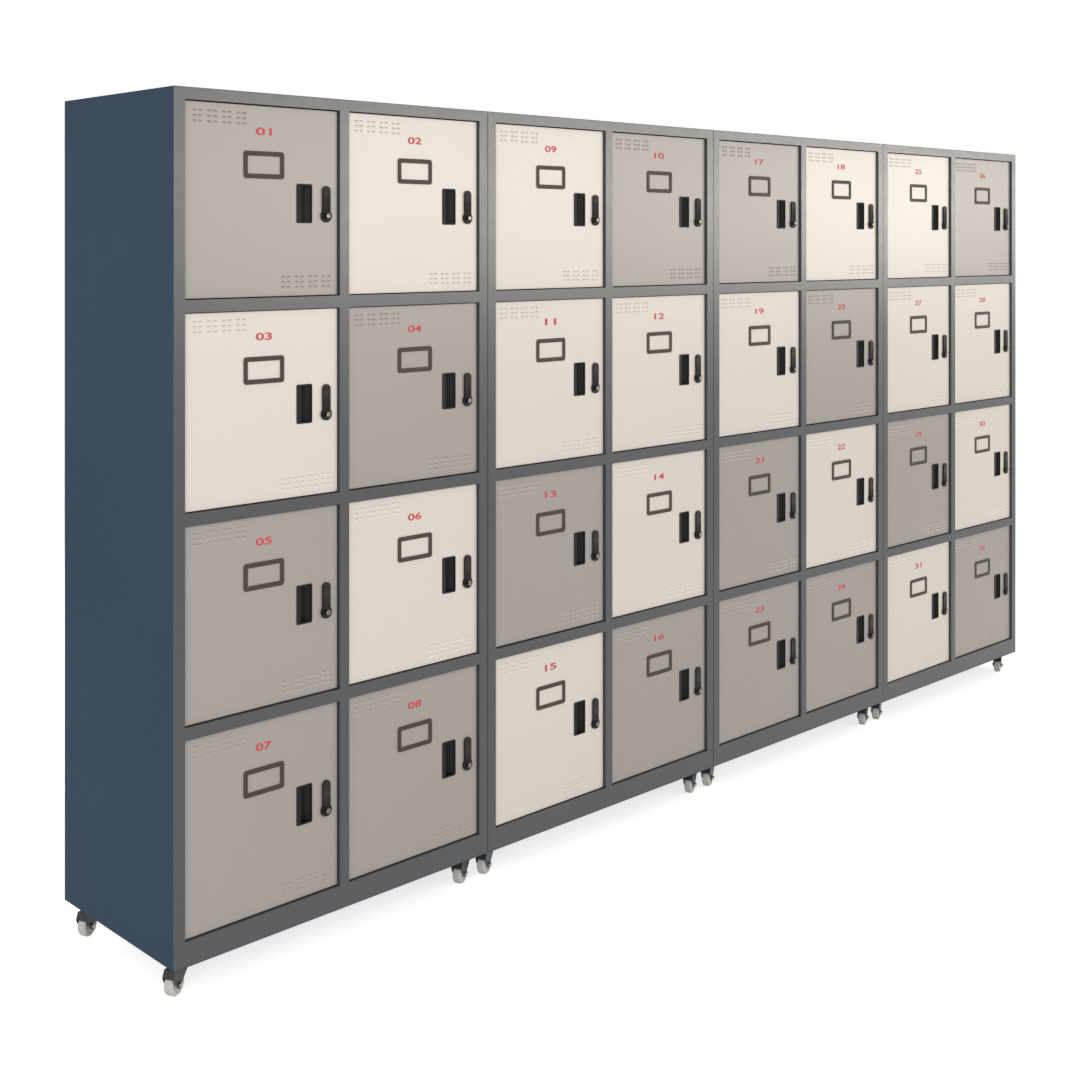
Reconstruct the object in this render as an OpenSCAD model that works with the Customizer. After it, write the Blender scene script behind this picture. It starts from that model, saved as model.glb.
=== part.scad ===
// Bank of steel locker cabinets on swivel casters, for phones and other small belongings.
// Each cabinet is a welded sheet-steel box with two columns of four inset doors. Every door is a
// pressed pan that turns on two pins, with louvre slots, a recessed pull, a card frame and a cam lock.
// X runs along the bank, the doors face -Y, and the wheels stand on Z = 0.

/* [Bank] */
// Number of cabinets side by side
cabinets = 4; // [1:1:4]
// Gap between neighbouring cabinets, filled by the spacers of the joining bolts
seam_gap = 2; // [1:0.5:6]

/* [Cabinet] */
// Width of one cabinet
cab_w = 898.5; // [700:0.5:1200]
// Height of one cabinet body, without its casters
cab_h = 1850; // [1500:10:2200]
// Depth of one cabinet
cab_d = 475; // [400:5:600]
// Thickness of the side panels
side_t = 1; // [0.8:0.1:2]
// Thickness of the back panel
back_t = 1; // [0.8:0.1:2]
// Thickness of the roof panel
roof_t = 1.2; // [0.8:0.1:2]
// Thickness of the base panel
base_t = 1.5; // [1:0.1:3]
// Thickness of the shelves and the centre divider
shelf_t = 1; // [0.8:0.1:2]
// Width of each leg of the angle runners under the shelves
runner_w = 12; // [8:1:20]
// Air between pieces that are welded, screwed or pressed together
seam_air = 0.2; // [0.1:0.05:0.3]

/* [Front frame] */
// Face width of the side posts
side_post_w = 27; // [24:1:60]
// Face width of the centre post
centre_post_w = 26; // [22:1:60]
// Face height of the top rail
top_rail_h = 26; // [20:1:60]
// Face height of the rails between the doors
mid_rail_h = 27; // [20:1:60]
// Face height of the bottom rail
bottom_rail_h = 53; // [40:1:120]
// Depth of the folded posts and rails
frame_d = 26; // [18:1:30]
// Sheet thickness of the posts and rails
frame_t = 1.2; // [0.8:0.1:2]
// Width of the folded lips at the back of the posts and rails
frame_lip = 7; // [4:1:8]
// How far the stop strip reaches behind the lock side of a door
stop_reach = 10; // [6:1:14]

/* [Door] */
// Gap around a closed door
door_gap = 2; // [1.8:0.1:4]
// How far a closed door's face lies behind the frame's face
door_setback = 8; // [1:0.5:10]
// Air between a closed door and its stop strip
stop_air = 0.3; // [0.2:0.1:1]
// Sheet thickness of the door pan
door_t = 1; // [0.8:0.1:1.5]
// Width of the folded lips at the back of the door pan
door_lip = 10; // [8:1:14]
// Distance of the pivot pins from the door's hinge edge
pivot_in = 8; // [7:0.5:9]
// Distance of the pivot pins behind the door's face
pivot_back = 5; // [4.5:0.5:6]
// Diameter of the pivot pins
pin_d = 5; // [4:0.5:6]
// Height of the pivot block welded into each hinge corner
pivot_block_h = 6; // [4:1:10]
// Radial clearance of every running fit
running_air = 0.05; // [0.02:0.01:0.08]
// Width of the hat-section stiffener behind the door
stiffener_w = 40; // [30:1:60]
// Depth of the hat-section stiffener
stiffener_d = 12; // [8:1:14]

/* [Louvre slots] */
// Number of slot blocks in a row
vent_blocks = 4; // [2:1:5]
// Side length of one slot block
vent_block = 25; // [20:1:30]
// Distance between the centres of neighbouring slot blocks
vent_pitch = 37; // [32:1:45]
// Width of the slots in a block
slot_w = 10.5; // [6:0.5:11]
// Height of the slots in a block
slot_h = 2.2; // [1.4:0.2:4]
// Distance of the first slot block from the door's side edge
vent_side = 20; // [14:1:40]
// Distance of the slot blocks from the door's top or bottom edge
vent_end = 18; // [14:1:40]

/* [Card frame] */
// Width of the card frame
card_w = 107; // [80:1:130]
// Height of the card frame
card_h = 60; // [40:1:80]
// Width of the band around the card
card_band = 6; // [4:0.5:12]
// Thickness of the card frame
card_t = 2.2; // [1.6:0.2:4]
// Distance of the card frame's centre below the door's top edge
card_drop = 129.5; // [100:0.5:150]

/* [Recessed pull] */
// Width of the pull's rim
pull_w = 43; // [36:1:60]
// Height of the pull's rim
pull_h = 88; // [70:1:110]
// Depth of the finger recess
pull_depth = 14; // [10:1:14]
// Wall thickness of the pull cup
pull_t = 1.4; // [1:0.1:2]
// Distance of the pull's centre from the door's lock edge
pull_edge = 93.5; // [80:0.5:120]
// Distance of the pull's centre below the door's top edge
pull_drop = 212; // [180:1:240]

/* [Lock] */
// Distance of the lock plug's axis from the door's lock edge
lock_edge = 33.5; // [28:0.5:38]
// Distance of the lock plug's axis below the door's top edge
plug_drop = 239; // [220:1:260]
// Width of the slim lock plate
lock_w = 21; // [16:1:24]
// Diameter of the round lower end of the lock plate
lock_end_d = 29; // [26:1:34]
// Height of the lock plate
lock_h = 82; // [60:1:100]
// Thickness of the lock plate
lock_t = 5; // [3:0.5:8]
// Diameter of the lock's barrel behind the door
barrel_d = 18; // [16:1:22]
// Diameter of the turning plug
plug_d = 12; // [10:0.5:14]
// How far the plug stands out of the door's face
plug_out = 12; // [8:1:16]
// Width of the cam
cam_w = 14; // [12:1:18]
// Thickness of the cam
cam_t = 2; // [1.5:0.5:3]
// How far the turned cam reaches behind the stop strip
cam_hook = 8; // [4:1:9]

/* [Caster] */
// Height from the floor to the cabinet's base
caster_h = 72; // [68:1:80]
// Diameter of the wheel
wheel_d = 50; // [40:1:50]
// Width of the wheel
wheel_w = 22; // [18:1:26]
// Diameter of the axle bolt
axle_d = 6; // [5:1:8]
// Distance between the swivel axis and the axle
trail = 14; // [10:1:20]
// Distance of the swivel axis from the cabinet's side
caster_side = 40; // [35:1:60]
// Distance of the swivel axis from the cabinet's front or back
caster_end = 50; // [40:1:80]
// Length of the square top plate's sides
plate_w = 56; // [48:1:60]
// Thickness of the top plate
plate_t = 2.5; // [2:0.5:4]
// Thickness of the fork's sheet
fork_t = 2; // [1.5:0.5:3]
// Diameter of the swivel races
race_d = 38; // [32:1:40]
// Diameter of the king pin
king_d = 8; // [6:1:10]
// Direction in which the wheels trail, from +X
wheel_heading = 205; // [0:5:355]

/* [Fasteners] */
// Diameter of the bolts that join the cabinets
bolt_d = 8; // [6:1:8]
// Diameter of the screws in the casters' top plates
screw_d = 6; // [4:1:6]
// Clearance of bolts and screws in their holes, on the diameter
bolt_air = 0.4; // [0.2:0.1:1]

/* [Colours] */
// Front frame
frame_colour = "#5c6166"; // [#5c6166, #44484c]
// Sides, back and roof
case_colour = "#3f4e59"; // [#3f4e59, #2f3b45]
// Light doors
cream_colour = "#e6ded2"; // [#e6ded2, #f2ead8]
// Darker doors
grey_colour = "#a9a29e"; // [#a9a29e, #8d8884]

/* [Hidden] */
$fn = 48;
columns = 2;
rows = 4;
seats = columns * rows;
pitch = cab_w + seam_gap;
bank_w = cabinets * pitch - seam_gap;
lock_reach = plug_out - door_setback;
front_y = -(cab_d - lock_reach) / 2;

open_w = (cab_w - 2 * side_post_w - centre_post_w) / columns;
open_h = (cab_h - top_rail_h - bottom_rail_h - (rows - 1) * mid_rail_h) / rows;
door_w = open_w - 2 * door_gap;
door_h = open_h - 2 * door_gap;
stop_y = frame_d + seam_air;
stop_t = frame_t;
door_d = stop_y - door_setback - stop_air;

pin_len = door_gap + door_t + pivot_block_h;
collar_d = 2 * pin_d;
collar_t = door_gap - stop_air;
pivot_block_w = 2 * (pivot_in - door_t);
pivot_block_d = 2 * pivot_back;

slot_cols = 2;
slot_rows = 3;

plug_z = door_h - plug_drop;
plug_x = door_w - lock_edge;
pull_x = door_w - pull_edge;
pull_z = door_h - pull_drop;
pull_rim = 2;
pull_rim_t = 1.2;
pull_corner_r = 4;
hook_w = 8;
hook_t = 2.4;
card_corner_r = 5;
cam_gap = 1;
cam_y = door_d + stop_air + stop_t + cam_gap;
cam_len = lock_edge + door_gap - stop_reach + cam_hook;
cam_end_d = cam_w;
spigot_step = 2;
spigot_d = plug_d - 2 * spigot_step;
cam_nut_t = 2.5;
cam_nut_d = spigot_d + 5;
key_slot_w = 1.2;
key_slot_l = 0.6 * plug_d;
key_slot_d = 3;

wheel_r = wheel_d / 2;
tyre_t = 6;
tyre_shoulder = tyre_t / 2;
rim_wall = 3;
hub_dish = 3;
hub_inset = 1;
fork_air = 1;
fork_gap = wheel_w + 2 * fork_air;
head_gap = 6;
head_z = wheel_d + head_gap;
shield_l = 0.36 * wheel_d;
shield_drop = 6;
hood_air = 2;
hood_r = wheel_r + hood_air;
hood_tilt = 25;
hood_low = 6;
hood_high = (head_z + fork_t - wheel_r - (hood_r + fork_t) * sin(hood_tilt)) / cos(hood_tilt);
eye_r = 1.5 * axle_d;
race_air = 0.3;
race_t = (caster_h - plate_t - head_z - fork_t - race_air) / 2;
race_step = 2;
rivet_d = 1.8 * king_d;
screw_in = 8;

joint_z = [for (part = [0.16, 0.5, 0.84]) part * cab_h];
joint_y = frame_d / 2;
rear_joint_in = 30;
rear_joint_y = cab_d - rear_joint_in;
rear_joint_z = (base_t + bottom_rail_h) / 2;

hex_across = 1.9;
hex_head = 0.65;
hex_nut = 0.8;

pull_colour = "#141414";
card_colour = "#4a4038";
lock_colour = "#26211e";
plug_colour = "#d8d8d8";
cam_colour = "#b4b4b4";
fork_colour = "#2b2d2e";
tyre_colour = "#cfccc6";
hub_colour = "#bdbab4";
plate_colour = "dimgray";
bolt_colour = "silver";

// Light (L) and dark (D) doors, row by row from the top, repeating along the bank
door_pattern = ["DLLD", "LDLL", "DLDL", "DDLD"];

function number(n) = str(n < 10 ? "0" : "", n);
function cab_x(c) = -bank_w / 2 + c * pitch;
function seat_column(n) = (n - 1) % columns;
function seat_row(n) = floor(((n - 1) % seats) / columns);
function seat_cabinet(n) = floor((n - 1) / seats);
function open_x(k) = side_post_w + k * (open_w + centre_post_w);
function open_z(r) = bottom_rail_h + (rows - 1 - r) * (open_h + mid_rail_h);
function is_light(n) =
    door_pattern[seat_row(n)][(seat_cabinet(n) * columns + seat_column(n)) % 4] == "L";
function caster_x(i) = i % 2 == 0 ? caster_side : cab_w - caster_side;
function caster_y(i) = i < 2 ? caster_end : cab_d - caster_end;
// Point of the hood in X and height, r out from the axle square to the hood and l up along it
function hood_point(r, l) = [
    trail + r * cos(hood_tilt) - l * sin(hood_tilt),
    wheel_r + r * sin(hood_tilt) + l * cos(hood_tilt)
];

door_count = cabinets * seats;
door_names = [for (n = [1:door_count]) str("door_", number(n))];
lock_names = [for (n = [1:seats]) str("lock_plug_", number(n))];
corner_names = ["front_left", "front_right", "rear_left", "rear_right"];
fork_names = [for (s = corner_names) str("caster_fork_", s)];
wheel_names = [for (s = corner_names) str("caster_wheel_", s)];
frame_names = ["front_frames", "side_panels", "back_panels", "roof_panels", "base_panels", "centre_dividers",
    "shelves", "hinge_pins", "joining_bolts", "caster_plates"];
parked_names = cabinets > 1 ? ["parked_forks", "parked_wheels"] : [];

module in_cabinet(c) {
    translate([cab_x(c), front_y, caster_h]) children();
}

module each_cabinet() {
    for ($c = [0:cabinets - 1]) in_cabinet($c) children();
}

// Local frame of a closed door: origin at its lower hinge corner, on its face
module in_seat(n) {
    in_cabinet(seat_cabinet(n))
        translate([open_x(seat_column(n)) + door_gap, door_setback, open_z(seat_row(n)) + door_gap])
            children();
}

// Turns a flat outline drawn in X and Z into a plate from y0 to y0 + t
module upright(y0, t) {
    translate([0, y0 + t, 0]) rotate([90, 0, 0]) linear_extrude(t) children();
}

module round_rect(w, h, r) {
    square([w - 2 * r, h], center = true);
    square([w, h - 2 * r], center = true);
    for (x = [-1, 1], z = [-1, 1]) translate([x * (w / 2 - r), z * (h / 2 - r)]) circle(r);
}

// Straight hole along X, from x = 0 to x = l
module bore_x(d, l) {
    rotate([0, 90, 0]) cylinder(d = d, h = l);
}

// Places of the bolts that join a cabinet to its right-hand neighbour, seen from either cabinet
module each_joint() {
    for (z = joint_z) translate([0, joint_y, z]) children();
    translate([0, rear_joint_y, rear_joint_z]) children();
}

// FRONT FRAME

// Folded C-section post, w wide, with its face at y = 0 and its lips at the back
module post_section(w) {
    difference() {
        square([w, frame_d]);
        translate([frame_t, frame_t]) square([w - 2 * frame_t, frame_d - 2 * frame_t]);
        translate([frame_lip, frame_t]) square([w - 2 * frame_lip, frame_d]);
    }
}

// The left-hand side post. Its face also covers the front edge of the side panel.
module side_post(bolted) {
    difference() {
        translate([0, 0, base_t]) linear_extrude(cab_h - base_t - roof_t) {
            square([side_post_w, frame_t]);
            translate([side_t, 0]) post_section(side_post_w - side_t);
        }
        if (bolted)
            each_joint() translate([side_t - frame_t, 0, 0]) bore_x(bolt_d + bolt_air, 3 * frame_t);
    }
}

module centre_post() {
    translate([(cab_w - centre_post_w) / 2, 0, base_t])
        linear_extrude(cab_h - base_t - roof_t) post_section(centre_post_w);
}

// Folded C-section rail, h high and one opening long
module rail(h) {
    translate([seam_air, 0, 0]) difference() {
        cube([open_w - 2 * seam_air, frame_d, h]);
        translate([-frame_t, frame_t, frame_t])
            cube([open_w + frame_t, frame_d - 2 * frame_t, h - 2 * frame_t]);
        translate([-frame_t, frame_t, frame_lip]) cube([open_w + frame_t, frame_d, h - 2 * frame_lip]);
    }
}

// Flat strip on the back of the post, which the closed door meets and the turned cam hooks behind
module stop_strip(k, r) {
    translate([open_x(k) + open_w - stop_reach, stop_y, open_z(r)])
        cube([stop_reach + frame_lip, stop_t, open_h]);
}

module front_frames() {
    color(frame_colour) each_cabinet() {
        side_post($c > 0);
        translate([cab_w, 0, 0]) mirror([1, 0, 0]) side_post($c < cabinets - 1);
        centre_post();
        for (k = [0:columns - 1]) {
            translate([open_x(k), 0, base_t]) rail(bottom_rail_h - base_t);
            translate([open_x(k), 0, cab_h - top_rail_h]) rail(top_rail_h - roof_t);
            for (r = [0:rows - 2]) translate([open_x(k), 0, open_z(r) - mid_rail_h]) rail(mid_rail_h);
            for (r = [0:rows - 1]) stop_strip(k, r);
        }
    }
}

// CASE

module side_panel(bolted) {
    difference() {
        translate([0, frame_t, base_t])
            cube([side_t, cab_d - frame_t - back_t, cab_h - base_t - roof_t]);
        if (bolted) each_joint() translate([-side_t, 0, 0]) bore_x(bolt_d + bolt_air, 3 * side_t);
    }
}

module side_panels() {
    color(case_colour) each_cabinet() {
        side_panel($c > 0);
        translate([cab_w, 0, 0]) mirror([1, 0, 0]) side_panel($c < cabinets - 1);
    }
}

module back_panels() {
    color(case_colour) each_cabinet()
        translate([0, cab_d - back_t, base_t]) cube([cab_w, back_t, cab_h - base_t - roof_t]);
}

module roof_panels() {
    color(case_colour) each_cabinet()
        translate([0, 0, cab_h - roof_t]) cube([cab_w, cab_d, roof_t]);
}

// Holes for the screws of one caster's top plate
module plate_screws() {
    for (x = [-1, 1], y = [-1, 1])
        translate([x * (plate_w / 2 - screw_in), y * (plate_w / 2 - screw_in), 0]) children();
}

module base_panels() {
    color(case_colour) each_cabinet() difference() {
        cube([cab_w, cab_d, base_t]);
        for (i = [0:3]) translate([caster_x(i), caster_y(i), -base_t])
            plate_screws() cylinder(d = screw_d + bolt_air, h = 3 * base_t);
    }
}

module centre_dividers() {
    color(case_colour) each_cabinet()
        translate([(cab_w - shelf_t) / 2, frame_t, base_t])
            cube([shelf_t, cab_d - frame_t - back_t, cab_h - base_t - roof_t]);
}

// Angle runner along Y, with its upright leg at x = 0 and its top at z = 0
module runner(l) {
    translate([0, 0, -runner_w]) cube([shelf_t, l, runner_w]);
    translate([0, 0, -shelf_t]) cube([runner_w, l, shelf_t]);
}

// One shelf on its two runners, with its top level with the rail before it
module shelf() {
    inner_w = (cab_w - 2 * side_t - shelf_t) / columns;
    shelf_l = cab_d - back_t - frame_d;
    runner_l = shelf_l - 2 * runner_w;
    translate([0, 0, -shelf_t]) cube([inner_w, shelf_l, shelf_t]);
    translate([0, runner_w, -shelf_t - seam_air]) {
        runner(runner_l);
        translate([inner_w, 0, 0]) mirror([1, 0, 0]) runner(runner_l);
    }
}

module shelves() {
    color(case_colour) each_cabinet()
        for (k = [0:columns - 1], r = [0:rows - 1])
            translate([k == 0 ? side_t : (cab_w + shelf_t) / 2, frame_d, open_z(r)]) shelf();
}

// HINGES

// Pin on a rail, with a collar that carries the door at the lower end
module hinge_pin(collar) {
    cylinder(d = pin_d, h = pin_len);
    if (collar) cylinder(d = collar_d, h = collar_t);
}

module hinge_pins() {
    color(bolt_colour) for (n = [1:door_count]) in_seat(n) translate([pivot_in, pivot_back, 0]) {
        translate([0, 0, -door_gap]) hinge_pin(true);
        translate([0, 0, door_h + door_gap]) mirror([0, 0, 1]) hinge_pin(false);
    }
}

// DOOR

// One block of short slots, its lower left corner at the origin
module slot_block() {
    column_step = (vent_block - slot_w) / (slot_cols - 1);
    row_step = (vent_block - slot_h) / (slot_rows - 1);
    for (i = [0:slot_cols - 1], j = [0:slot_rows - 1])
        translate([i * column_step, j * row_step]) square([slot_w, slot_h]);
}

module slot_row_of_blocks() {
    for (i = [0:vent_blocks - 1]) translate([i * vent_pitch, 0]) slot_block();
}

// Everything that is cut through the face of the door
module face_cuts() {
    translate([vent_side, door_h - vent_end - vent_block]) slot_row_of_blocks();
    translate([door_w - vent_side, vent_end]) mirror([1, 0]) slot_row_of_blocks();
    translate([pull_x, pull_z])
        square([pull_w - 2 * (pull_rim - seam_air), pull_h - 2 * (pull_rim - seam_air)], center = true);
    translate([plug_x, plug_z]) circle(d = barrel_d + 2 * seam_air);
}

module pivot_bore() {
    translate([pivot_in, pivot_back, -door_t]) cylinder(d = pin_d + 2 * running_air, h = door_h + 2 * door_t);
}

// Pressed pan with folded edges and lips
module door_pan() {
    difference() {
        cube([door_w, door_d, door_h]);
        translate([door_t, door_t, door_t])
            cube([door_w - 2 * door_t, door_d - 2 * door_t, door_h - 2 * door_t]);
        translate([door_lip, door_t, door_lip]) cube([door_w - 2 * door_lip, door_d, door_h - 2 * door_lip]);
        upright(-door_t, 3 * door_t) face_cuts();
        pivot_bore();
    }
}

module pivot_blocks() {
    difference() {
        for (z = [door_t, door_h - door_t - pivot_block_h])
            translate([door_t, door_t, z]) cube([pivot_block_w, pivot_block_d, pivot_block_h]);
        pivot_bore();
    }
}

// Hat-section stiffener behind the face, between the hinge side and the pull
module stiffener() {
    stiffener_h = door_h - 2 * door_lip - 2 * (vent_end + vent_block);
    translate([(door_w - stiffener_w) / 2, door_t, (door_h - stiffener_h) / 2])
        linear_extrude(stiffener_h) {
            square([stiffener_w / 4, door_t]);
            translate([stiffener_w * 3 / 4, 0]) square([stiffener_w / 4, door_t]);
            difference() {
                translate([stiffener_w / 4 - door_t, 0])
                    square([stiffener_w / 2 + 2 * door_t, stiffener_d]);
                translate([stiffener_w / 4, -door_t]) square([stiffener_w / 2, stiffener_d]);
            }
        }
}

// Outline in X and Y of the pull cup, grown by t: a steep hinge side and a sloping lock side
module cup_section(t) {
    half = pull_w / 2 - pull_rim - pull_t;
    polygon([
        [-half - t, -2 * pull_rim_t],
        [-half - t, pull_depth + t],
        [half / 3, pull_depth + t],
        [half + t, hook_t + t],
        [half + t, -2 * pull_rim_t]
    ]);
}

// Moulded finger pull: rim, cup and the lip that the fingers hook behind
module pull_cup() {
    cup_h = pull_h - 2 * pull_rim;
    half = pull_w / 2 - pull_rim - pull_t;
    color(pull_colour) translate([pull_x, 0, pull_z]) {
        difference() {
            union() {
                upright(-pull_rim_t - seam_air, pull_rim_t) round_rect(pull_w, pull_h, pull_corner_r);
                translate([0, 0, -cup_h / 2]) linear_extrude(cup_h)
                    intersection() {
                        cup_section(pull_t);
                        translate([-pull_w / 2, -pull_rim_t]) square([pull_w, door_d]);
                    }
            }
            translate([0, 0, -cup_h / 2 + pull_t]) linear_extrude(cup_h - 2 * pull_t) cup_section(0);
        }
        translate([-half, -pull_rim_t, -cup_h / 2 + pull_t])
            cube([hook_w, hook_t + pull_rim_t, cup_h - 2 * pull_t]);
    }
}

module card_frame() {
    color(card_colour) translate([door_w / 2, -seam_air, door_h - card_drop]) difference() {
        upright(-card_t, card_t) round_rect(card_w, card_h, card_corner_r);
        upright(-2 * card_t, 3 * card_t)
            square([card_w - 2 * card_band, card_h - 2 * card_band], center = true);
        upright(-card_t / 2, card_t)
            square([card_w - card_band, card_h - card_band], center = true);
    }
}

// Slim lock plate with its round lower end, and the barrel through the door
module lock_case() {
    color(lock_colour) translate([plug_x, 0, plug_z]) difference() {
        union() {
            upright(-lock_t - seam_air, lock_t) {
                circle(d = lock_end_d);
                translate([-lock_w / 2, 0]) square([lock_w, lock_h - (lock_end_d + lock_w) / 2]);
                translate([0, lock_h - (lock_end_d + lock_w) / 2]) circle(d = lock_w);
            }
            upright(-lock_t, lock_t + cam_y - stop_air) circle(d = barrel_d);
        }
        upright(-2 * lock_t, cam_y + 3 * lock_t) circle(d = plug_d + 2 * running_air);
    }
}

// Turning plug with its key slot, the cam that hangs from it and the cam's nut
module lock_plug() {
    translate([plug_x, 0, plug_z]) {
        color(plug_colour) difference() {
            union() {
                upright(-plug_out, plug_out + cam_y - seam_air) circle(d = plug_d);
                upright(0, cam_y + cam_t + cam_nut_t + 2 * seam_air) circle(d = spigot_d);
            }
            upright(-plug_out - key_slot_d, 2 * key_slot_d) square([key_slot_w, key_slot_l], center = true);
        }
        color(cam_colour) difference() {
            upright(cam_y, cam_t) {
                circle(d = cam_end_d);
                translate([-cam_w / 2, -cam_len]) square([cam_w, cam_len]);
            }
            upright(cam_y - cam_t, 3 * cam_t) circle(d = spigot_d + 2 * seam_air);
        }
        color(cam_colour) difference() {
            upright(cam_y + cam_t + seam_air, cam_nut_t) circle(d = cam_nut_d, $fn = 6);
            upright(cam_y, 4 * cam_nut_t) circle(d = spigot_d + 2 * seam_air);
        }
    }
}

module door(n) {
    in_seat(n) {
        color(is_light(n) ? cream_colour : grey_colour) {
            door_pan();
            pivot_blocks();
            stiffener();
        }
        pull_cup();
        card_frame();
        lock_case();
        if (seat_cabinet(n) > 0) lock_plug();
    }
}

// FASTENERS

// Hexagon bolt along X: its head clears x = 0 and its shank ends at x = l
module hex_bolt(d, l) {
    head_h = hex_head * d;
    rotate([0, 90, 0]) {
        translate([0, 0, -head_h - seam_air]) cylinder(d = hex_across * d, h = head_h, $fn = 6);
        translate([0, 0, -head_h]) cylinder(d = d, h = head_h + l);
    }
}

module nut(d) {
    rotate([0, 90, 0]) difference() {
        cylinder(d = hex_across * d, h = hex_nut * d, $fn = 6);
        translate([0, 0, -d]) cylinder(d = d + 2 * seam_air, h = 3 * d);
    }
}

// Bolt, nut and spacer of one joint. A rear joint has no posts between its bolt and its nut.
module joint_set(grip) {
    translate([-grip, 0, 0]) hex_bolt(bolt_d, 2 * grip + seam_gap + bolt_d);
    translate([grip + seam_gap, 0, 0]) nut(bolt_d);
    rotate([0, 90, 0]) difference() {
        cylinder(d = 2 * bolt_d, h = seam_gap);
        translate([0, 0, -seam_gap]) cylinder(d = bolt_d + bolt_air, h = 3 * seam_gap);
    }
}

module joining_bolts() {
    color(bolt_colour) for (c = [0:1:cabinets - 2]) in_cabinet(c) translate([cab_w, 0, 0]) {
        for (z = joint_z) translate([0, joint_y, z]) joint_set(side_t + frame_t);
        translate([0, rear_joint_y, rear_joint_z]) joint_set(side_t);
    }
}

// CASTERS

// Local frame of caster i of cabinet c: origin on the floor under the swivel axis, unturned
module in_caster(c, i) {
    translate([cab_x(c) + caster_x(i), front_y + caster_y(i), 0]) children();
}

// Top plate with the upper race pressed into it
module top_plate() {
    difference() {
        union() {
            translate([-plate_w / 2, -plate_w / 2, caster_h - plate_t]) cube([plate_w, plate_w, plate_t]);
            translate([0, 0, caster_h - plate_t - race_t]) cylinder(d = race_d, h = race_t);
        }
        translate([0, 0, head_z]) cylinder(d = king_d + 2 * seam_air, h = caster_h);
        translate([0, 0, caster_h - 2 * plate_t])
            plate_screws() cylinder(d = screw_d + bolt_air, h = 3 * plate_t);
    }
}

// Rivet that carries the fork under the top plate
module king_pin() {
    pin_bottom = head_z - race_air;
    translate([0, 0, pin_bottom]) cylinder(d = king_d, h = caster_h - pin_bottom);
    translate([0, 0, pin_bottom - fork_t]) cylinder(d = rivet_d, h = fork_t);
}

module caster_screw() {
    translate([0, 0, caster_h - plate_t]) rotate([0, -90, 0]) hex_bolt(screw_d, plate_t + base_t + screw_d);
}

module caster_plates() {
    for (c = [0:cabinets - 1], i = [0:3]) in_caster(c, i) {
        color(plate_colour) top_plate();
        color(bolt_colour) king_pin();
        color(bolt_colour) plate_screws() caster_screw();
    }
}

// Side view of a fork leg, with X along the trail and Y up: a shield over the wheel and an axle eye
module leg_outline() {
    polygon([
        [-race_d / 2, head_z + fork_t],
        [-race_d / 2, head_z - shield_drop],
        [trail - eye_r, wheel_r],
        [trail + eye_r, wheel_r],
        [trail + shield_l, wheel_r + shield_drop],
        hood_point(hood_r + fork_t, hood_low),
        hood_point(hood_r + fork_t, hood_high)
    ]);
    translate([trail, wheel_r]) circle(r = eye_r);
}

// Sloping hood over the wheel, between the legs
module hood() {
    upright(-fork_gap / 2 - fork_t, fork_gap + 2 * fork_t) polygon([
        hood_point(hood_r, hood_low),
        hood_point(hood_r + fork_t, hood_low),
        hood_point(hood_r + fork_t, hood_high),
        hood_point(hood_r, hood_high)
    ]);
}

// Pressed fork: flat head with the lower race, a leg on each side of the wheel and a hood
module fork() {
    fork_l = race_d / 2 + hood_point(hood_r + fork_t, hood_high)[0];
    difference() {
        union() {
            translate([-race_d / 2, -fork_gap / 2 - fork_t, head_z])
                cube([fork_l, fork_gap + 2 * fork_t, fork_t]);
            translate([0, 0, head_z]) cylinder(d = race_d - 2 * race_step, h = fork_t + race_t);
            for (y = [-fork_gap / 2 - fork_t, fork_gap / 2]) upright(y, fork_t) leg_outline();
            hood();
        }
        translate([0, 0, head_z - fork_t]) cylinder(d = king_d + 2 * running_air, h = caster_h);
        translate([trail, 0, wheel_r]) rotate([90, 0, 0])
            cylinder(d = axle_d + 2 * seam_air, h = 2 * wheel_w, center = true);
    }
}

// Axle bolt through both legs, with its nut
module axle_bolt() {
    half = fork_gap / 2 + fork_t;
    translate([trail, -half, wheel_r]) rotate([0, 0, 90]) {
        hex_bolt(axle_d, 2 * half + axle_d);
        translate([2 * half + seam_air, 0, 0]) nut(axle_d);
    }
}

module caster_fork() {
    color(fork_colour) fork();
    color(bolt_colour) axle_bolt();
}

// Grey tyre with rounded shoulders on a moulded hub with dished sides
module caster_wheel() {
    rim_r = wheel_r - tyre_t;
    translate([trail, 0, wheel_r]) rotate([90, 0, 0]) {
        color(tyre_colour) rotate_extrude() {
            translate([rim_r, -wheel_w / 2]) square([tyre_t - tyre_shoulder, wheel_w]);
            translate([rim_r, tyre_shoulder - wheel_w / 2]) square([tyre_t, wheel_w - 2 * tyre_shoulder]);
            for (z = [-1, 1]) translate([wheel_r - tyre_shoulder, z * (wheel_w / 2 - tyre_shoulder)])
                circle(tyre_shoulder);
        }
        color(hub_colour) difference() {
            cylinder(r = rim_r - seam_air, h = wheel_w - 2 * hub_inset, center = true);
            for (m = [0, 1]) mirror([0, 0, m])
                translate([0, 0, wheel_w / 2 - hub_inset - hub_dish]) difference() {
                    cylinder(r = rim_r - rim_wall, h = 2 * hub_dish);
                    translate([0, 0, -hub_dish]) cylinder(r = axle_d, h = 4 * hub_dish);
                }
            cylinder(d = axle_d + 2 * running_air, h = 2 * wheel_w, center = true);
        }
    }
}

module turned(c, i) {
    in_caster(c, i) rotate([0, 0, wheel_heading]) children();
}

module parked_forks() {
    for (c = [1:1:cabinets - 1], i = [0:3]) turned(c, i) caster_fork();
}

module parked_wheels() {
    for (c = [1:1:cabinets - 1], i = [0:3]) turned(c, i) caster_wheel();
}

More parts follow.
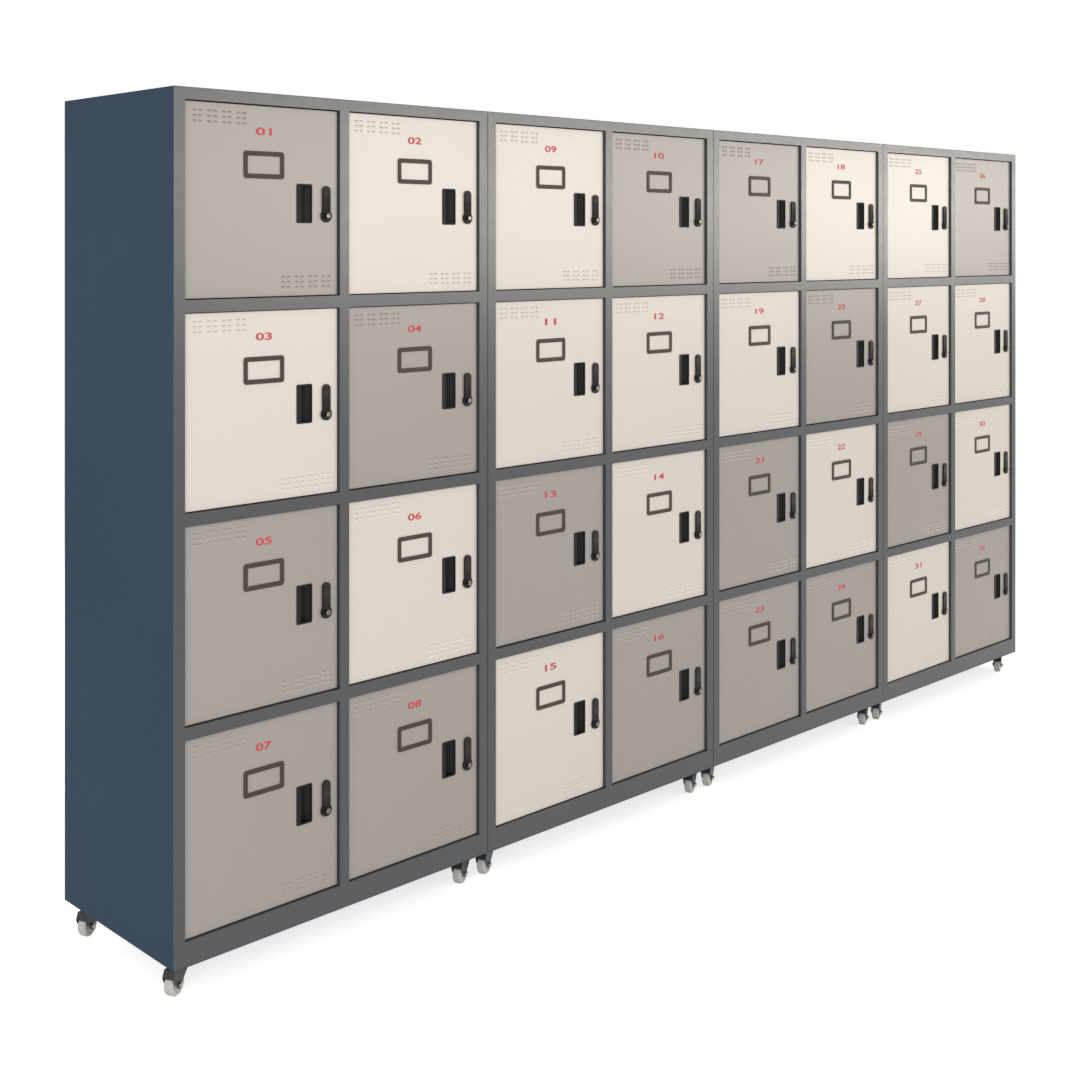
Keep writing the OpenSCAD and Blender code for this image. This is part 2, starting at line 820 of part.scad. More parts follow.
front_frames();
side_panels();
back_panels();
roof_panels();
base_panels();
centre_dividers();
shelves();
hinge_pins();
joining_bolts();
caster_plates();
parked_forks();
parked_wheels();
for (n = [1:door_count])
    door(n);
for (n = [1:seats])
    in_seat(n) lock_plug();
for (i = [0:3])
    turned(0, i) caster_fork();
for (i = [0:3])
    turned(0, i) caster_wheel();
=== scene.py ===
"""Finish of a bank of steel locker cabinets on casters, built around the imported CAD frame."""
import math

import bmesh
import bpy
from mathutils import Matrix, Vector


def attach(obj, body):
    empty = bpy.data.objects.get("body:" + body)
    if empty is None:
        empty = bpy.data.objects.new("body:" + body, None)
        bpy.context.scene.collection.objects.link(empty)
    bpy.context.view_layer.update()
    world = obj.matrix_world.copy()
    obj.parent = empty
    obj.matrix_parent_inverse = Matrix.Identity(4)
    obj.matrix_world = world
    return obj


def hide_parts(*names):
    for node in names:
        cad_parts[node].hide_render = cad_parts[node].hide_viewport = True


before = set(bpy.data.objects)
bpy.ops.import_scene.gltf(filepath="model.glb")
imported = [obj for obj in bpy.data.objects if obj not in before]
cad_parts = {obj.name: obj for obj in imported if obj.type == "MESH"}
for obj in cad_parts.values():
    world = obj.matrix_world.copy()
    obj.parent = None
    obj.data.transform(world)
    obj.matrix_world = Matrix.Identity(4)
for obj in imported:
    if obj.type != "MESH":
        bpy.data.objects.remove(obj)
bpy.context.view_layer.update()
scene = bpy.context.scene
scene.view_settings.view_transform = "Standard"

# CAMERA

camera_data = bpy.data.cameras.new("camera")
camera_data.lens = 49.97
camera_data.sensor_width = 36
camera_data.shift_x = 0.055
camera_data.shift_y = -0.2746
camera_data.clip_end = 100
camera = bpy.data.objects.new("camera", camera_data)
camera.location = (-3.4658, -2.9573, 1.5925)
camera.rotation_euler = (math.radians(90), 0, math.radians(-43.03))
scene.collection.objects.link(camera)
scene.camera = camera

# SIZES, in millimetres, as in the CAD part

MM = 0.001
CABINETS, ROWS = 4, 4
CAB_W, CAB_H, CAB_D = 898.5, 1850, 475
PITCH = CAB_W + 2
BANK_W = CABINETS * PITCH - 2
FRONT_Y = -235.5
BASE_T, ROOF_T = 1.5, 1.2
POST_W, CENTRE_W, TOP_H, MID_H, BOTTOM_H = 27, 26, 26, 27, 53
FRAME_D, FRAME_T, FRAME_LIP = 26, 1.2, 7
STOP_REACH = 10
OPEN_W = (CAB_W - 2 * POST_W - CENTRE_W) / 2
OPEN_H = (CAB_H - TOP_H - BOTTOM_H - 3 * MID_H) / 4
DOOR_GAP, DOOR_SETBACK = 2, 8
DOOR_W, DOOR_H, DOOR_D = OPEN_W - 2 * DOOR_GAP, OPEN_H - 2 * DOOR_GAP, 17.9
DOOR_T, DOOR_LIP = 1, 10
PIVOT_IN, PIVOT_BACK, PIN_D = 8, 5, 5
VENT_BLOCKS, VENT_BLOCK, VENT_PITCH = 4, 25, 37
SLOT_W, SLOT_H, LOUVRE_H, LOUVRE_DEPTH = 10.5, 2.2, 5, 1.07
VENT_SIDE, VENT_END = 20, 18
CARD_W, CARD_H, CARD_BAND, CARD_T, CARD_DROP = 107, 60, 10.5, 2.2, 129.5
MARK_DROP, MARK_W, MARK_H, MARK_T = 56, 43, 17, 0.08
PULL_W, PULL_H, PULL_DEPTH, PULL_WALL, PULL_RIM = 43, 88, 14, 1.2, 3.4
PULL_X, PULL_Z = DOOR_W - 93.5, DOOR_H - 212
PLUG_X, PLUG_Z = DOOR_W - 33.5, DOOR_H - 239
LOCK_W, LOCK_END_D, LOCK_H, LOCK_T = 21, 29, 82, 5
PLUG_D, PLUG_OUT, BARREL_D = 12, 12, 18
CAM_Y, CAM_T, CAM_W, CAM_L = 20.4, 2, 14, 33.5
CASTER_H, CASTER_SIDE, CASTER_END, TRAIL, WHEEL_HEADING = 72, 40, 50, 14, 205
WHEEL_R, WHEEL_W, TYRE_T = 25, 22, 6
DOOR_PATTERN = ["DLLD", "LDLL", "DLDL", "DDLD"]
CORNERS = ["front_left", "front_right", "rear_left", "rear_right"]


def cab_x(c):
    return -BANK_W / 2 + c * PITCH


def open_x(k):
    return POST_W + k * (OPEN_W + CENTRE_W)


def open_z(r):
    return BOTTOM_H + (ROWS - 1 - r) * (OPEN_H + MID_H)


def moved(x, y, z):
    return Matrix.Translation((x * MM, y * MM, z * MM))


# MATERIALS


def linear(r, g, b):
    """A colour given in 0 to 255 as the eye sees it, as Blender's linear values."""
    values = []
    for v in (r, g, b):
        v /= 255
        values.append(v / 12.92 if v <= 0.04045 else ((v + 0.055) / 1.055) ** 2.4)
    return (*values, 1)


def add_node(tree, kind, inputs=None, **settings):
    """A new node with its settings, and its inputs set or linked."""
    node = tree.nodes.new(kind)
    for key, value in settings.items():
        setattr(node, key, value)
    for key, value in (inputs or {}).items():
        if isinstance(value, bpy.types.NodeSocket):
            tree.links.new(value, node.inputs[key])
        else:
            node.inputs[key].default_value = value
    return node


def add_ramp(tree, factor, stops):
    node = add_node(tree, "ShaderNodeValToRGB", {"Fac": factor})
    elements = node.color_ramp.elements
    while len(elements) < len(stops):
        elements.new(0.5)
    for element, (position, colour) in zip(elements, stops):
        element.position = position
        element.color = colour
    return node.outputs["Color"]


def shade(colour, factor):
    return (*[v * factor for v in colour[:3]], 1)


def new_finish(name, colour, roughness, metallic=0.0, mottle=0.03, mottle_scale=4.0, grain=600.0,
               grain_height=0.00002, spread=0.05, gloss=0.5):
    """A finish with a slow drift of tone, a fine grain in its surface and an uneven gloss."""
    material = bpy.data.materials.new(name)
    material.use_nodes = True
    tree = material.node_tree
    shader = tree.nodes["Principled BSDF"]
    shader.inputs["Metallic"].default_value = metallic
    shader.inputs["Specular IOR Level"].default_value = gloss
    place = add_node(tree, "ShaderNodeTexCoord").outputs["Object"]
    drift = add_node(tree, "ShaderNodeTexNoise", {"Vector": place, "Scale": mottle_scale, "Detail": 3.0})
    tone = add_ramp(tree, drift.outputs["Fac"],
                    [(0.3, shade(colour, 1 - mottle)), (0.7, shade(colour, 1 + mottle))])
    tree.links.new(tone, shader.inputs["Base Color"])
    sheen = add_node(tree, "ShaderNodeTexNoise", {"Vector": place, "Scale": 30.0, "Detail": 2.0})
    rough = add_node(tree, "ShaderNodeMapRange", {
        "Value": sheen.outputs["Fac"], "From Min": 0.3, "From Max": 0.7,
        "To Min": roughness - spread, "To Max": roughness + spread})
    tree.links.new(rough.outputs["Result"], shader.inputs["Roughness"])
    peel = add_node(tree, "ShaderNodeTexNoise", {"Vector": place, "Scale": grain, "Detail": 2.0})
    bump = add_node(tree, "ShaderNodeBump", {
        "Height": peel.outputs["Fac"], "Strength": 0.6, "Distance": grain_height})
    tree.links.new(bump.outputs["Normal"], shader.inputs["Normal"])
    return material


frame_paint = new_finish("frame_paint", linear(73, 76, 80), 0.25, mottle=0.03, mottle_scale=3.0, spread=0.02,
                         grain_height=0.000008)
case_paint = new_finish("case_paint", linear(61, 79, 96), 0.6, mottle=0.05, mottle_scale=2.0, gloss=0.05)
cream_paint = new_finish("cream_paint", linear(232, 224, 215), 0.28, mottle=0.01, mottle_scale=3.0, spread=0.006,
                         grain=1200.0, grain_height=0.000003, gloss=0.3)
grey_paint = new_finish("grey_paint", linear(174, 167, 162), 0.28, mottle=0.012, mottle_scale=3.0, spread=0.006,
                        grain=1200.0, grain_height=0.000003, gloss=0.3)
black_plastic = new_finish("black_plastic", linear(18, 17, 19), 0.5, mottle=0.1, mottle_scale=60.0, grain=1500.0,
                           gloss=0.2)
lock_plastic = new_finish("lock_plastic", linear(38, 32, 27), 0.5, mottle=0.05, mottle_scale=60.0, grain=1500.0,
                          gloss=0.2)
card_plastic = new_finish("card_plastic", linear(72, 65, 57), 0.5, mottle=0.05, mottle_scale=60.0, grain=1500.0,
                          gloss=0.2)
nickel = new_finish("nickel", linear(120, 116, 104), 0.32, metallic=1.0, mottle=0.03, spread=0.05, grain=300.0,
                    grain_height=0.000004)
zinc = new_finish("zinc", linear(170, 170, 166), 0.35, metallic=1.0, mottle=0.08, mottle_scale=80.0, grain=900.0)
black_oxide = new_finish("black_oxide", linear(52, 52, 54), 0.45, metallic=0.8, mottle=0.08, mottle_scale=80.0)
red_ink = new_finish("red_ink", linear(210, 74, 84), 0.5, mottle=0.04, mottle_scale=200.0, gloss=0.3)
fork_paint = new_finish("fork_paint", linear(46, 49, 52), 0.4, mottle=0.08, mottle_scale=60.0, gloss=0.4)
grey_rubber = new_finish("grey_rubber", linear(214, 212, 208), 0.6, mottle=0.03, mottle_scale=60.0, grain=900.0,
                         gloss=0.3)
hub_plastic = new_finish("hub_plastic", linear(206, 204, 199), 0.45, mottle=0.03, mottle_scale=60.0, grain=900.0,
                         gloss=0.3)

# MODELLING TOOLS


def deselect():
    if bpy.context.object and bpy.context.object.mode != "OBJECT":
        bpy.ops.object.mode_set(mode="OBJECT")
    bpy.ops.object.select_all(action="DESELECT")


def activate(piece):
    deselect()
    piece.select_set(True)
    bpy.context.view_layer.objects.active = piece


def edit(piece):
    activate(piece)
    bpy.ops.object.mode_set(mode="EDIT")


def choose(kind, test):
    """In edit mode, selects the faces (FACE), edges (EDGE) or corners (VERT) that pass the test."""
    bpy.ops.mesh.select_mode(type=kind)
    bpy.ops.mesh.select_all(action="DESELECT")
    mesh = bpy.context.edit_object.data
    shape = bmesh.from_edit_mesh(mesh)
    for item in {"FACE": shape.faces, "EDGE": shape.edges, "VERT": shape.verts}[kind]:
        if test(item):
            item.select_set(True)
    shape.select_flush_mode()
    bmesh.update_edit_mesh(mesh)


def faces_to(x, y, z):
    """Selects the faces that look in a direction."""
    way = Vector((x, y, z))
    choose("FACE", lambda f: f.normal.dot(way) > 0.99)


def extrude(x=0, y=0, z=0):
    bpy.ops.mesh.extrude_region_move(
        TRANSFORM_OT_translate={"value": (x * MM, y * MM, z * MM), "orient_type": "GLOBAL"})


def shift(x=0, y=0, z=0):
    bpy.ops.transform.translate(value=(x * MM, y * MM, z * MM), orient_type="GLOBAL")


def widen(x, y, z, centre):
    bpy.ops.transform.resize(value=(x, y, z), center_override=[v * MM for v in centre])


def middle(item):
    """Middle of an edge or a face, in millimetres."""
    return sum((v.co for v in item.verts), Vector()) / len(item.verts) / MM


def cube(name, low, high):
    deselect()
    bpy.ops.mesh.primitive_cube_add(size=1, location=[(a + b) / 2 * MM for a, b in zip(low, high)])
    piece = bpy.context.object
    piece.name = name
    piece.scale = [(b - a) * MM for a, b in zip(low, high)]
    bpy.ops.object.transform_apply(location=True, rotation=True, scale=True)
    return piece


def cylinder(name, d, base, length, axis="Y", sides=48):
    """A cylinder that starts at base and runs along an axis."""
    deselect()
    turn = {"X": (0, math.pi / 2, 0), "Y": (math.pi / 2, 0, 0), "Z": (0, 0, 0)}[axis]
    at = [v + (length / 2 if a == axis else 0) for a, v in zip("XYZ", base)]
    bpy.ops.mesh.primitive_cylinder_add(
        vertices=sides, radius=d / 2 * MM, depth=length * MM, location=[v * MM for v in at], rotation=turn)
    piece = bpy.context.object
    piece.name = name
    bpy.ops.object.transform_apply(location=True, rotation=True, scale=True)
    return piece


def plane(name, w, h):
    """An upright rectangle that looks to the front, its middle at the origin."""
    deselect()
    bpy.ops.mesh.primitive_plane_add(size=1, rotation=(math.pi / 2, 0, 0))
    piece = bpy.context.object
    piece.name = name
    piece.scale = (w * MM, h * MM, 1)
    bpy.ops.object.transform_apply(location=True, rotation=True, scale=True)
    return piece


def apply_modifier(piece, kind, **settings):
    activate(piece)
    modifier = piece.modifiers.new("work", kind)
    for key, value in settings.items():
        setattr(modifier, key, value)
    bpy.ops.object.modifier_apply(modifier=modifier.name)


def soften(piece, width, segments=2, angle=30):
    apply_modifier(piece, "BEVEL", width=width * MM, segments=segments, limit_method="ANGLE",
                   angle_limit=math.radians(angle), use_clamp_overlap=True)


def combine(piece, other, operation="DIFFERENCE"):
    """Cuts the other piece out of this one, or welds it on."""
    apply_modifier(piece, "BOOLEAN", object=other, operation=operation, solver="EXACT")
    bpy.data.objects.remove(other)


def join(pieces):
    activate(pieces[0])
    for piece in pieces[1:]:
        piece.select_set(True)
    bpy.ops.object.join()
    return pieces[0]


def smooth(piece, angle=35):
    activate(piece)
    bpy.ops.object.shade_smooth_by_angle(angle=math.radians(angle))
    apply_modifier(piece, "WEIGHTED_NORMAL", keep_sharp=True)
    return piece


def put(pattern, name, place, material, body):
    """A copy of a pattern with its own mesh, in its place, riding on a body."""
    piece = bpy.data.objects.new(name, pattern.data.copy())
    piece.data.transform(place)
    scene.collection.objects.link(piece)
    piece.data.materials.clear()
    piece.data.materials.append(material)
    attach(piece, body)
    return piece


# FRONT FRAME PATTERN


def slide_lines(axis, targets):
    """Moves the lines of an upright grid, across one axis, to their places."""
    shape = bmesh.from_edit_mesh(bpy.context.edit_object.data)
    places = sorted({round(v.co[axis], 5) for v in shape.verts})
    line = {v.index: places.index(round(v.co[axis], 5)) for v in shape.verts}
    for n, target in enumerate(targets):
        choose("VERT", lambda v: line[v.index] == n)
        step = [0, 0, 0]
        step[axis] = target - places[n] / MM
        shift(*step)


def model_front_frame():
    """Posts and rails of one cabinet, folded back around each opening."""
    lines_x = [0, POST_W, POST_W + OPEN_W, POST_W + OPEN_W + CENTRE_W, CAB_W - POST_W, CAB_W]
    lines_z = [BASE_T]
    for r in range(ROWS - 1, -1, -1):
        lines_z += [open_z(r), open_z(r) + OPEN_H]
    lines_z.append(CAB_H - ROOF_T)
    deselect()
    bpy.ops.mesh.primitive_grid_add(
        x_subdivisions=len(lines_x) - 1, y_subdivisions=len(lines_z) - 1, size=1, rotation=(math.pi / 2, 0, 0))
    piece = bpy.context.object
    bpy.ops.object.transform_apply(location=True, rotation=True, scale=True)
    edit(piece)
    slide_lines(0, lines_x)
    slide_lines(2, lines_z)
    spans_x = [(open_x(k), open_x(k) + OPEN_W) for k in range(2)]
    spans_z = [(open_z(r), open_z(r) + OPEN_H) for r in range(ROWS)]

    def within(value, spans):
        return any(low < value < high for low, high in spans)

    choose("FACE", lambda f: within(middle(f).x, spans_x) and within(middle(f).z, spans_z))
    bpy.ops.mesh.delete(type="FACE")
    for x0, x1 in spans_x:
        for z0, z1 in spans_z:
            def on_rim(edge):
                m = middle(edge)
                return (len(edge.link_faces) == 1 and x0 - 1 < m.x < x1 + 1 and z0 - 1 < m.z < z1 + 1)
            choose("EDGE", on_rim)
            extrude(y=FRAME_D)
            extrude()
            widen((OPEN_W + 2 * FRAME_LIP) / OPEN_W, 1, (OPEN_H + 2 * FRAME_LIP) / OPEN_H,
                  ((x0 + x1) / 2, FRAME_D, (z0 + z1) / 2))
    choose("EDGE", lambda e: len(e.link_faces) == 1 and middle(e).y < 0.1 and (
        min(middle(e).x, CAB_W - middle(e).x) < 0.1 or middle(e).z < BASE_T + 0.1
        or middle(e).z > CAB_H - ROOF_T - 0.1))
    extrude(y=FRAME_T)
    bpy.ops.object.mode_set(mode="OBJECT")
    apply_modifier(piece, "SOLIDIFY", thickness=FRAME_T * MM, offset=-1, use_even_offset=True)
    soften(piece, 0.5)
    return smooth(piece)


def model_stop_strip():
    """Strip that a closed door meets, with rounded ends on its free edge."""
    piece = cube("stop_strip", (0, 0, 0), (STOP_REACH + FRAME_LIP, FRAME_T, OPEN_H))
    edit(piece)
    choose("EDGE", lambda e: middle(e).x < 0.1 and abs(middle(e).z - OPEN_H / 2) > OPEN_H / 2 - 0.1)
    bpy.ops.mesh.bevel(offset=2 * MM, segments=3, affect="EDGES")
    bpy.ops.object.mode_set(mode="OBJECT")
    soften(piece, 0.25)
    return smooth(piece)


# DOOR PATTERNS


def model_slots():
    """Punches for all the louvres of a door: round-ended, sloping in upwards, four blocks above and four below."""
    low = (SLOT_H - LOUVRE_H) / 2
    slot = cube("slot", (0, -DOOR_T, low), (SLOT_W, 0.1, low + LOUVRE_H))
    edit(slot)
    choose("EDGE", lambda e: abs((e.verts[0].co - e.verts[1].co).y) > 1e-4)
    bpy.ops.mesh.bevel(offset=1.2 * MM, segments=3, affect="EDGES")
    for level in sorted({round(v.co.z, 6) for v in bmesh.from_edit_mesh(slot.data).verts}):
        choose("VERT", lambda v: v.co.y > 0 and abs(v.co.z - level) < 2e-6)
        shift(y=LOUVRE_DEPTH * (level / MM - low) / LOUVRE_H)
    bpy.ops.object.mode_set(mode="OBJECT")
    punches = []
    for block in range(VENT_BLOCKS):
        for i in range(2):
            for j in range(3):
                x = VENT_SIDE + block * VENT_PITCH + i * (VENT_BLOCK - SLOT_W)
                z = j * (VENT_BLOCK - SLOT_H) / 2
                for place in (moved(x, 0, DOOR_H - VENT_END - VENT_BLOCK + z),
                              moved(DOOR_W - x - SLOT_W, 0, VENT_END + z)):
                    punch = bpy.data.objects.new("punch", slot.data.copy())
                    punch.data.transform(place)
                    scene.collection.objects.link(punch)
                    punches.append(punch)
    bpy.data.objects.remove(slot)
    return join(punches)


def model_pan():
    """Pressed door pan: folded edges and lips, louvre slots, and holes for the pull, lock and pins."""
    piece = cube("pan", (0, 0, 0), (DOOR_W, DOOR_D, DOOR_H))
    edit(piece)
    faces_to(0, 1, 0)
    bpy.ops.mesh.inset(thickness=DOOR_LIP * MM, use_even_offset=True)
    extrude(y=-DOOR_T)
    extrude()
    widen((DOOR_W - 2 * DOOR_T) / (DOOR_W - 2 * DOOR_LIP), 1, (DOOR_H - 2 * DOOR_T) / (DOOR_H - 2 * DOOR_LIP),
          (DOOR_W / 2, DOOR_D - DOOR_T, DOOR_H / 2))
    extrude(y=-(DOOR_D - 2 * DOOR_T))

    def at_face_or_corner(edge):
        m = middle(edge)
        side = min(m.x, DOOR_W - m.x) < 0.1
        end = min(m.z, DOOR_H - m.z) < 0.1
        return (m.y < 0.1 and (side or end)) or (side and end)

    choose("EDGE", at_face_or_corner)
    bpy.ops.mesh.bevel(offset=1.3 * MM, segments=3, affect="EDGES")
    bpy.ops.object.mode_set(mode="OBJECT")
    combine(piece, model_slots())
    combine(piece, cube("hole", (PULL_X - PULL_W / 2 + 1.8, -5, PULL_Z - PULL_H / 2 + 1.8),
                        (PULL_X + PULL_W / 2 - 1.8, 5, PULL_Z + PULL_H / 2 - 1.8)))
    combine(piece, cylinder("hole", BARREL_D + 0.4, (PLUG_X, -5, PLUG_Z), 10))
    combine(piece, cylinder("hole", PIN_D + 0.1, (PIVOT_IN, PIVOT_BACK, -5), DOOR_H + 10, "Z", 32))
    soften(piece, 0.22, 1)
    return smooth(piece)


def model_stiffener():
    """Hat-section stiffener behind the face."""
    height = DOOR_H - 2 * DOOR_LIP - 2 * (VENT_END + VENT_BLOCK)
    x0, z0 = DOOR_W / 2 - 20, (DOOR_H - height) / 2
    piece = cube("stiffener", (x0, DOOR_T, z0), (x0 + 40, 2 * DOOR_T, z0 + height))
    edit(piece)
    for x in (x0 + 10, x0 + 30):
        bpy.ops.mesh.select_all(action="SELECT")
        bpy.ops.mesh.bisect(plane_co=(x * MM, 0, 0), plane_no=(1, 0, 0))
    choose("FACE", lambda f: f.normal.y > 0.9 and abs(middle(f).x - x0 - 20) < 5)
    extrude(y=10)
    widen(0.9, 1, 0.97, (x0 + 20, 12, z0 + height / 2))
    bpy.ops.object.mode_set(mode="OBJECT")
    soften(piece, 0.8)
    return smooth(piece)


def model_pivot_blocks():
    """Blocks in the hinge corners that the pins turn in."""
    blocks = []
    for z in (DOOR_T, DOOR_H - DOOR_T - 6):
        block = cube("block", (DOOR_T, DOOR_T, z), (DOOR_T + 14, DOOR_T + 10, z + 6))
        combine(block, cylinder("hole", PIN_D + 0.1, (PIVOT_IN, PIVOT_BACK, z - 1), 8, "Z", 32))
        soften(block, 0.4)
        blocks.append(block)
    return smooth(join(blocks))


def model_pull():
    """Moulded finger pull: rim, sloping cup and the lip that the fingers hook behind."""
    half = PULL_W / 2 - PULL_RIM
    piece = plane("pull", PULL_W, PULL_H)
    edit(piece)
    bpy.ops.mesh.select_all(action="SELECT")
    bpy.ops.mesh.bevel(offset=4 * MM, segments=5, affect="VERTICES")
    choose("FACE", lambda f: True)
    bpy.ops.mesh.inset(thickness=PULL_RIM * MM, use_even_offset=True)
    extrude(y=3.6)
    extrude(y=PULL_DEPTH - 2.4)
    floor = PULL_DEPTH + 1
    choose("VERT", lambda v: v.co.y / MM > floor and v.co.x > 0)
    shift(x=-half * 2 / 3)
    choose("EDGE", lambda e: len(e.link_faces) == 1)
    extrude(y=1.2)
    bpy.ops.object.mode_set(mode="OBJECT")
    piece.data.transform(moved(0, -1.4, 0))
    apply_modifier(piece, "SOLIDIFY", thickness=PULL_WALL * MM, offset=-1, use_even_offset=True)
    soften(piece, 0.45, 3)
    hook = cube("hook", (-half, -1.4, -PULL_H / 2 + PULL_RIM), (-half + 8, 2.4, PULL_H / 2 - PULL_RIM))
    edit(hook)
    choose("EDGE", lambda e: middle(e).x > -half + 7.9 and abs(middle(e).z) < 1)
    bpy.ops.mesh.bevel(offset=1.6 * MM, segments=4, affect="EDGES")
    bpy.ops.object.mode_set(mode="OBJECT")
    return smooth(join([piece, hook]))


def model_card_frame():
    """Card frame with rounded corners, its window cut through."""
    w, h = CARD_W / 2, CARD_H / 2
    piece = cube("card_frame", (-w, -CARD_T, -h), (w, -0.2, h))
    window = cube("window", (-w + CARD_BAND, -5, -h + CARD_BAND), (w - CARD_BAND, 5, h - CARD_BAND))
    for block, radius in ((piece, 7), (window, 2)):
        edit(block)
        choose("EDGE", lambda e: abs((e.verts[0].co - e.verts[1].co).y) > 1e-4)
        bpy.ops.mesh.bevel(offset=radius * MM, segments=6, affect="EDGES")
        bpy.ops.object.mode_set(mode="OBJECT")
    combine(piece, window)
    soften(piece, 0.7, 3, 40)
    return smooth(piece)


def model_lock_body():
    """Slim upper part of the lock plate, with a round top and softened edges."""
    top = LOCK_H - (LOCK_END_D + LOCK_W) / 2
    piece = cube("lock_body", (-LOCK_W / 2, -LOCK_T - 0.2, 4), (LOCK_W / 2, -0.2, top))
    combine(piece, cylinder("round", LOCK_W, (0, -LOCK_T - 0.2, top), LOCK_T), "UNION")
    soften(piece, 1.4, 4, 50)
    return smooth(piece)


def model_lock_ring():
    """Round lower end of the lock plate, with the barrel through the door behind it."""
    piece = cylinder("lock_ring", LOCK_END_D, (0, -LOCK_T - 0.6, 0), LOCK_T + 0.4, sides=64)
    edit(piece)
    faces_to(0, -1, 0)
    bpy.ops.mesh.bevel(offset=1.6 * MM, segments=4, affect="EDGES")
    faces_to(0, -1, 0)
    bpy.ops.mesh.inset(thickness=(LOCK_END_D / 2 - 1.6 - PLUG_D / 2 - 1.2) * MM)
    shift(y=0.8)
    bpy.ops.object.mode_set(mode="OBJECT")
    barrel = cylinder("barrel", BARREL_D, (0, -0.3, 0), CAM_Y, sides=48)
    combine(piece, barrel, "UNION")
    combine(piece, cylinder("hole", PLUG_D + 0.1, (0, -10, 0), 40, sides=48))
    soften(piece, 0.2, 1)
    return smooth(piece)


def model_plug():
    """Turning plug with a key slot in its rounded face."""
    piece = cylinder("plug", PLUG_D, (0, -PLUG_OUT, 0), PLUG_OUT + CAM_Y - 0.2, sides=48)
    combine(piece, cylinder("spigot", PLUG_D - 4, (0, 0, 0), CAM_Y + CAM_T + 2.9, sides=32), "UNION")
    edit(piece)
    choose("EDGE", lambda e: all(v.co.y / MM < -PLUG_OUT + 0.1 for v in e.verts))
    bpy.ops.mesh.bevel(offset=1.2 * MM, segments=4, affect="EDGES")
    faces_to(0, -1, 0)
    bpy.ops.mesh.inset(thickness=1.4 * MM)
    shift(y=0.5)
    bpy.ops.object.mode_set(mode="OBJECT")
    combine(piece, cube("key", (-0.6, -PLUG_OUT - 1, -3), (0.6, -PLUG_OUT + 3, 3)))
    soften(piece, 0.15, 1)
    return smooth(piece)


def model_cam():
    """Flat cam that hangs from the plug, round at the plug, and its nut."""
    piece = cube("cam", (-CAM_W / 2, CAM_Y, -CAM_L), (CAM_W / 2, CAM_Y + CAM_T, CAM_W / 2))
    edit(piece)
    for end, offset in ((-CAM_L, 3), (CAM_W / 2, 0.49 * CAM_W)):
        choose("EDGE", lambda e: abs(middle(e).z - end) < 0.1 and abs(abs(middle(e).x) - CAM_W / 2) < 0.1)
        bpy.ops.mesh.bevel(offset=offset * MM, segments=8, affect="EDGES")
    bpy.ops.object.mode_set(mode="OBJECT")
    combine(piece, cylinder("hole", PLUG_D - 3.6, (0, CAM_Y - 1, 0), 5, sides=32))
    soften(piece, 0.3)
    nut = cylinder("nut", 13, (0, CAM_Y + CAM_T + 0.2, 0), 2.5, sides=6)
    combine(nut, cylinder("hole", PLUG_D - 3.6, (0, CAM_Y, 0), 8, sides=32))
    soften(nut, 0.35)
    return smooth(join([piece, nut]))


# CASTER PATTERNS, with the swivel axis at the origin and the wheel trailing along X


def model_tyre():
    """Grey tyre with rounded shoulders."""
    piece = cylinder("tyre", 2 * WHEEL_R, (TRAIL, -WHEEL_W / 2, WHEEL_R), WHEEL_W, sides=64)
    edit(piece)
    choose("FACE", lambda f: abs(f.normal.y) > 0.9)
    bpy.ops.mesh.inset(thickness=TYRE_T * MM)
    bpy.ops.mesh.delete(type="FACE")
    choose("EDGE", lambda e: len(e.link_faces) == 1)
    bpy.ops.mesh.bridge_edge_loops()
    choose("EDGE", lambda e: abs(abs(middle(e).y) - WHEEL_W / 2) < 0.1
           and abs((middle(e) - Vector((TRAIL, middle(e).y, WHEEL_R))).length - WHEEL_R) < 0.5)
    bpy.ops.mesh.bevel(offset=5.4 * MM, segments=7, affect="EDGES")
    bpy.ops.mesh.select_all(action="SELECT")
    bpy.ops.mesh.normals_make_consistent(inside=False)
    bpy.ops.object.mode_set(mode="OBJECT")
    return smooth(piece)


def model_hub():
    """Moulded hub with dished sides and a boss."""
    piece = cylinder("hub", 2 * (WHEEL_R - TYRE_T) - 0.4, (TRAIL, -WHEEL_W / 2 + 1, WHEEL_R), WHEEL_W - 2, sides=64)
    edit(piece)
    for side in (-1, 1):
        faces_to(0, side, 0)
        bpy.ops.mesh.inset(thickness=2.2 * MM)
        bpy.ops.mesh.inset(thickness=1 * MM)
        shift(y=-3 * side)
        bpy.ops.mesh.inset(thickness=8.6 * MM)
        bpy.ops.mesh.inset(thickness=0.4 * MM)
        shift(y=3 * side)
    bpy.ops.object.mode_set(mode="OBJECT")
    combine(piece, cylinder("hole", 6.1, (TRAIL, -WHEEL_W, WHEEL_R), 2 * WHEEL_W, sides=32))
    soften(piece, 0.25, 1)
    return smooth(piece)


